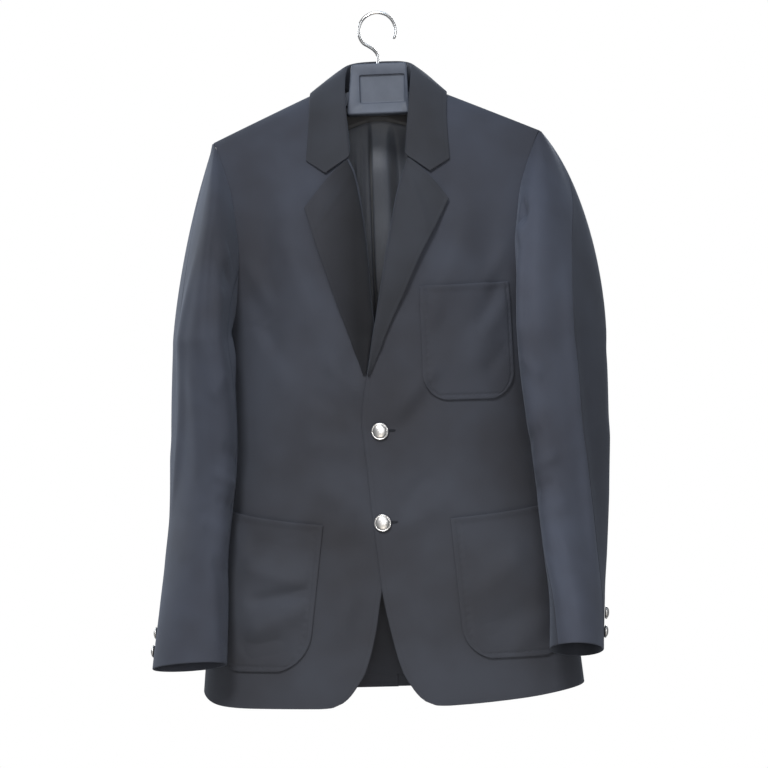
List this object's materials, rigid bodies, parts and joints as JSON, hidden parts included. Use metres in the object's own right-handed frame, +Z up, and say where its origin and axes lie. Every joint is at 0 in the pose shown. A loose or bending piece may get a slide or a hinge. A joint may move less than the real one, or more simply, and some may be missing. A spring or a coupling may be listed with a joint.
{
  "type": "school blazer on a hanger",
  "caption": "Single-breasted notch-lapel school blazer with patch pockets and metal buttons, hanging buttoned on a moulded hanger with a wire hook.",
  "frame": {"origin": "inner top of the hook's loop, where it rests on a rail", "axes": "+Z up, the front of the blazer faces -Y, +X towards the wearer's left"},
  "size_m": [0.5242, 0.2443, 0.7817],
  "materials": {
    "navy_cloth": "fine twill, matt",
    "satin_lining": "satin",
    "silver_metal": "polished",
    "hanger_plastic": "satin"
  },
  "bodies": {
    "root": {"front_left": "navy_cloth", "front_right": "navy_cloth", "back_left": "navy_cloth", "back_right": "navy_cloth", "collar": "navy_cloth", "lapel_left": "navy_cloth", "lapel_right": "navy_cloth", "sleeve_top_left": "navy_cloth", "sleeve_top_right": "navy_cloth", "sleeve_under_left": "navy_cloth", "sleeve_under_right": "navy_cloth", "pocket_breast": "navy_cloth", "pocket_left": "navy_cloth", "pocket_right": "navy_cloth", "lining_back": "satin_lining", "button_top": "silver_metal", "button_lower": "silver_metal", "cuff_button_left_1": "silver_metal", "cuff_button_left_2": "silver_metal", "cuff_button_right_1": "silver_metal", "cuff_button_right_2": "silver_metal", "hanger": "hanger_plastic", "hook": "silver_metal"}
  },
  "joints": []
}
